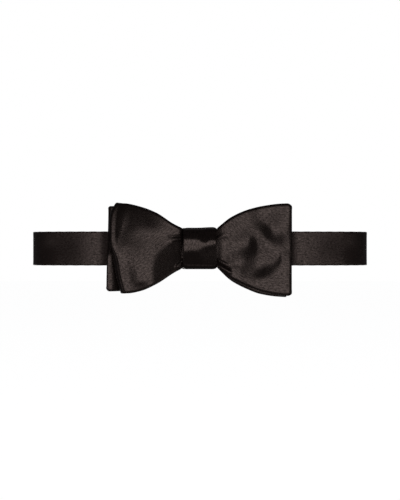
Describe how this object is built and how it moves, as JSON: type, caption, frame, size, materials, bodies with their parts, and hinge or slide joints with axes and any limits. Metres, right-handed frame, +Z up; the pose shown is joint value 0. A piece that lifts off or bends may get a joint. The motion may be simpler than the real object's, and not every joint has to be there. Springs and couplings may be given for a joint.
{
  "type": "bow tie",
  "caption": "Ready-tied satin bow tie with folded stiffened blades in a knot wrap, on a neck band with a slider and a hook and ring fastening.",
  "frame": {"origin": "centre of the neck opening, at half the height of the neck band", "axes": "+Z up the wearer's neck, -Y forwards out of the bow, +X along the bow to the viewer's right"},
  "size_m": [0.206, 0.0569, 0.0562],
  "materials": {
    "satin": "brown-black satin weave with a soft broad sheen",
    "interlining": "matt woven stiffening cloth",
    "thread": "twisted sewing thread",
    "metal": "polished nickel plate"
  },
  "bodies": {
    "bow_and_band": {"front_blade_face": "satin", "front_blade_lining": "satin", "front_blade_interlining": "interlining", "rear_blade_face": "satin", "rear_blade_lining": "satin", "rear_blade_interlining": "interlining", "knot_wrap_satin": "satin", "knot_wrap_interlining": "interlining", "knot_tack_stitches": "thread", "neck_band_face": "satin", "neck_band_lining": "satin", "neck_band_interlining_left": "interlining", "neck_band_interlining_right": "interlining", "strap_return": "satin"},
    "slider": {"slider_frame": "metal", "slider_strap_loop": "satin", "slider_strap_tack": "thread"},
    "eye": {"eye_ring": "metal"},
    "hook_strap": {"hook_strap_face": "satin", "hook_strap_lining": "satin", "hook_strap_interlining": "interlining", "hook_strap_tack": "thread"},
    "hook": {"hook": "metal"}
  },
  "joints": [
    {"name": "slide_travel", "type": "slide", "parent": "bow_and_band", "child": "slider", "axis": [1, 0, 0], "range_m": [-0.015, 0.015], "deforming": ["strap_return"]},
    {"name": "strap_open", "type": "hinge", "parent": "bow_and_band", "child": "hook_strap", "pos_m": [0.103, 0.00248, 0], "axis": [0, 0, 1], "range_deg": [-105, 0]},
    {"name": "hook_swivel", "type": "hinge", "parent": "hook_strap", "child": "hook", "pos_m": [0.0081, 0.0207, 0], "axis": [0, 0, 1], "range_deg": [-60, 0]},
    {"name": "eye_swivel", "type": "hinge", "parent": "bow_and_band", "child": "eye", "pos_m": [-0.012, 0.02025, 0], "axis": [0, 0, 1], "range_deg": [-35, 0]}
  ]
}
